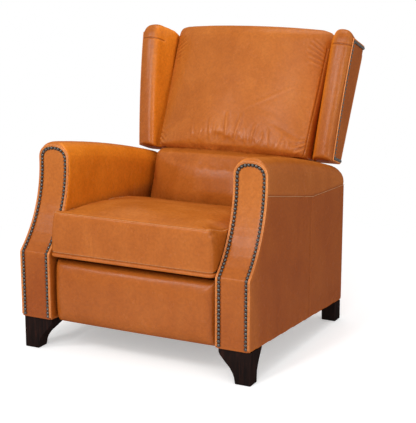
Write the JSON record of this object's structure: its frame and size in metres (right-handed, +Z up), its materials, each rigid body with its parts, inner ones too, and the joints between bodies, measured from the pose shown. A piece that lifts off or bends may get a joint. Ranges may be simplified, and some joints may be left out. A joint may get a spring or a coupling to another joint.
{
  "type": "wingback recliner",
  "caption": "Push-back wingback recliner in tan leather with nailhead trim, a fold-out footrest on a scissor linkage and dark wood bracket feet.",
  "frame": {"origin": "on the floor under the middle of the chair's bounding box", "axes": "-Y faces the front, +X is the sitter's left, +Z is up"},
  "size_m": [0.8128, 0.9144, 0.9907],
  "materials": {
    "tan_leather": "semi-aniline, satin",
    "espresso_wood": "dark espresso, satin",
    "plywood": "unfinished",
    "mechanism_steel": "dark grey, satin",
    "spring_wire": "oiled",
    "antique_nails": "antique dark bronze"
  },
  "bodies": {
    "base": {"foot_front_left": "espresso_wood", "foot_front_right": "espresso_wood", "foot_rear_left": "espresso_wood", "foot_rear_right": "espresso_wood", "rear_rail": "plywood", "front_stretcher": "plywood", "arm_side_board_left": "plywood", "arm_side_board_right": "plywood", "arm_top_rail_left": "plywood", "arm_top_rail_right": "plywood", "arm_pad_left": "tan_leather", "arm_pad_right": "tan_leather", "outside_arm_panel_left": "tan_leather", "outside_arm_panel_right": "tan_leather", "arm_front_panel_left": "tan_leather", "arm_front_panel_right": "tan_leather", "arm_nail_trim_left": "antique_nails", "arm_nail_trim_right": "antique_nails", "glide_rail_left": "mechanism_steel", "glide_rail_right": "mechanism_steel"},
    "seat": {"seat_side_plate_left": "mechanism_steel", "seat_side_plate_right": "mechanism_steel", "seat_front_rail": "plywood", "seat_rear_rail": "plywood", "seat_springs": "spring_wire", "seat_cushion": "tan_leather"},
    "drive_arm": {"footrest_drive_arms": "mechanism_steel"},
    "rear_arm": {"footrest_rear_arm_left": "mechanism_steel", "footrest_rear_arm_right": "mechanism_steel"},
    "outer_scissor": {"scissor_outer_left": "mechanism_steel", "scissor_outer_right": "mechanism_steel"},
    "inner_scissor": {"scissor_inner_left": "mechanism_steel", "scissor_inner_right": "mechanism_steel"},
    "lower_arm": {"front_lower_arm_left": "mechanism_steel", "front_lower_arm_right": "mechanism_steel"},
    "upper_arm": {"front_upper_arm_left": "mechanism_steel", "front_upper_arm_right": "mechanism_steel"},
    "control": {"control_link_left": "mechanism_steel", "control_link_right": "mechanism_steel"},
    "footrest": {"footrest_bracket_left": "mechanism_steel", "footrest_bracket_right": "mechanism_steel", "footrest_board": "plywood", "footrest_pad": "tan_leather"},
    "back": {"back_post_left": "plywood", "back_post_right": "plywood", "back_top_rail": "plywood", "back_bottom_rail": "plywood", "back_springs": "spring_wire", "lumbar_cushion": "tan_leather", "back_cushion": "tan_leather", "outside_back": "tan_leather", "wing_board_left": "plywood", "wing_board_right": "plywood", "wing_pad_left": "tan_leather", "wing_pad_right": "tan_leather", "wing_nail_trim_left": "antique_nails", "wing_nail_trim_right": "antique_nails", "back_bracket_left": "mechanism_steel", "back_bracket_right": "mechanism_steel"}
  },
  "joints": [
    {"name": "seat_glide", "type": "slide", "parent": "base", "child": "seat", "axis": [0, -1, 0], "range_m": [0, 0.04]},
    {"name": "back_recline", "type": "hinge", "parent": "seat", "child": "back", "pos_m": [0, 0.2, 0.28], "axis": [-1, 0, 0], "range_deg": [0, 30]},
    {"name": "footrest_extend", "type": "hinge", "parent": "seat", "child": "drive_arm", "pos_m": [0, -0.31265, 0.228], "axis": [1, 0, 0], "range_deg": [0, 67.7]},
    {"name": "rear_arm_turn", "type": "hinge", "parent": "seat", "child": "rear_arm", "pos_m": [0, -0.31265, 0.228], "axis": [1, 0, 0], "range_deg": [-67.7, 0]},
    {"name": "outer_scissor_turn", "type": "hinge", "parent": "drive_arm", "child": "outer_scissor", "pos_m": [0, -0.32449, 0.30914], "axis": [1, 0, 0], "range_deg": [-135.4, 0]},
    {"name": "inner_scissor_turn", "type": "hinge", "parent": "rear_arm", "child": "inner_scissor", "pos_m": [0, -0.32449, 0.14686], "axis": [1, 0, 0], "range_deg": [0, 135.4]},
    {"name": "lower_arm_turn", "type": "hinge", "parent": "outer_scissor", "child": "lower_arm", "pos_m": [0, -0.34816, 0.14686], "axis": [1, 0, 0], "range_deg": [0, 135.4]},
    {"name": "upper_arm_turn", "type": "hinge", "parent": "inner_scissor", "child": "upper_arm", "pos_m": [0, -0.34816, 0.30914], "axis": [1, 0, 0], "range_deg": [-135.4, 0]},
    {"name": "footrest_turn", "type": "hinge", "parent": "upper_arm", "child": "footrest", "pos_m": [0, -0.36, 0.228], "axis": [1, 0, 0], "range_deg": [-22.31, 0]},
    {"name": "control_turn", "type": "hinge", "parent": "footrest", "child": "control", "pos_m": [0, -0.3359, 0.2243], "axis": [1, 0, 0], "range_deg": [0, 150.7]}
  ],
  "couplings": [
    {"joint": "seat_glide", "follows": "back_recline", "m_per_rad": 0.076387},
    {"joint": "rear_arm_turn", "follows": "footrest_extend", "ratio": -1},
    {"joint": "outer_scissor_turn", "follows": "footrest_extend", "ratio": -2},
    {"joint": "inner_scissor_turn", "follows": "footrest_extend", "ratio": 2},
    {"joint": "lower_arm_turn", "follows": "footrest_extend", "ratio": 2},
    {"joint": "upper_arm_turn", "follows": "footrest_extend", "ratio": -2},
    {"joint": "footrest_turn", "follows": "footrest_extend", "ratio": -0.3294},
    {"joint": "control_turn", "follows": "footrest_extend", "ratio": 2.2256}
  ]
}
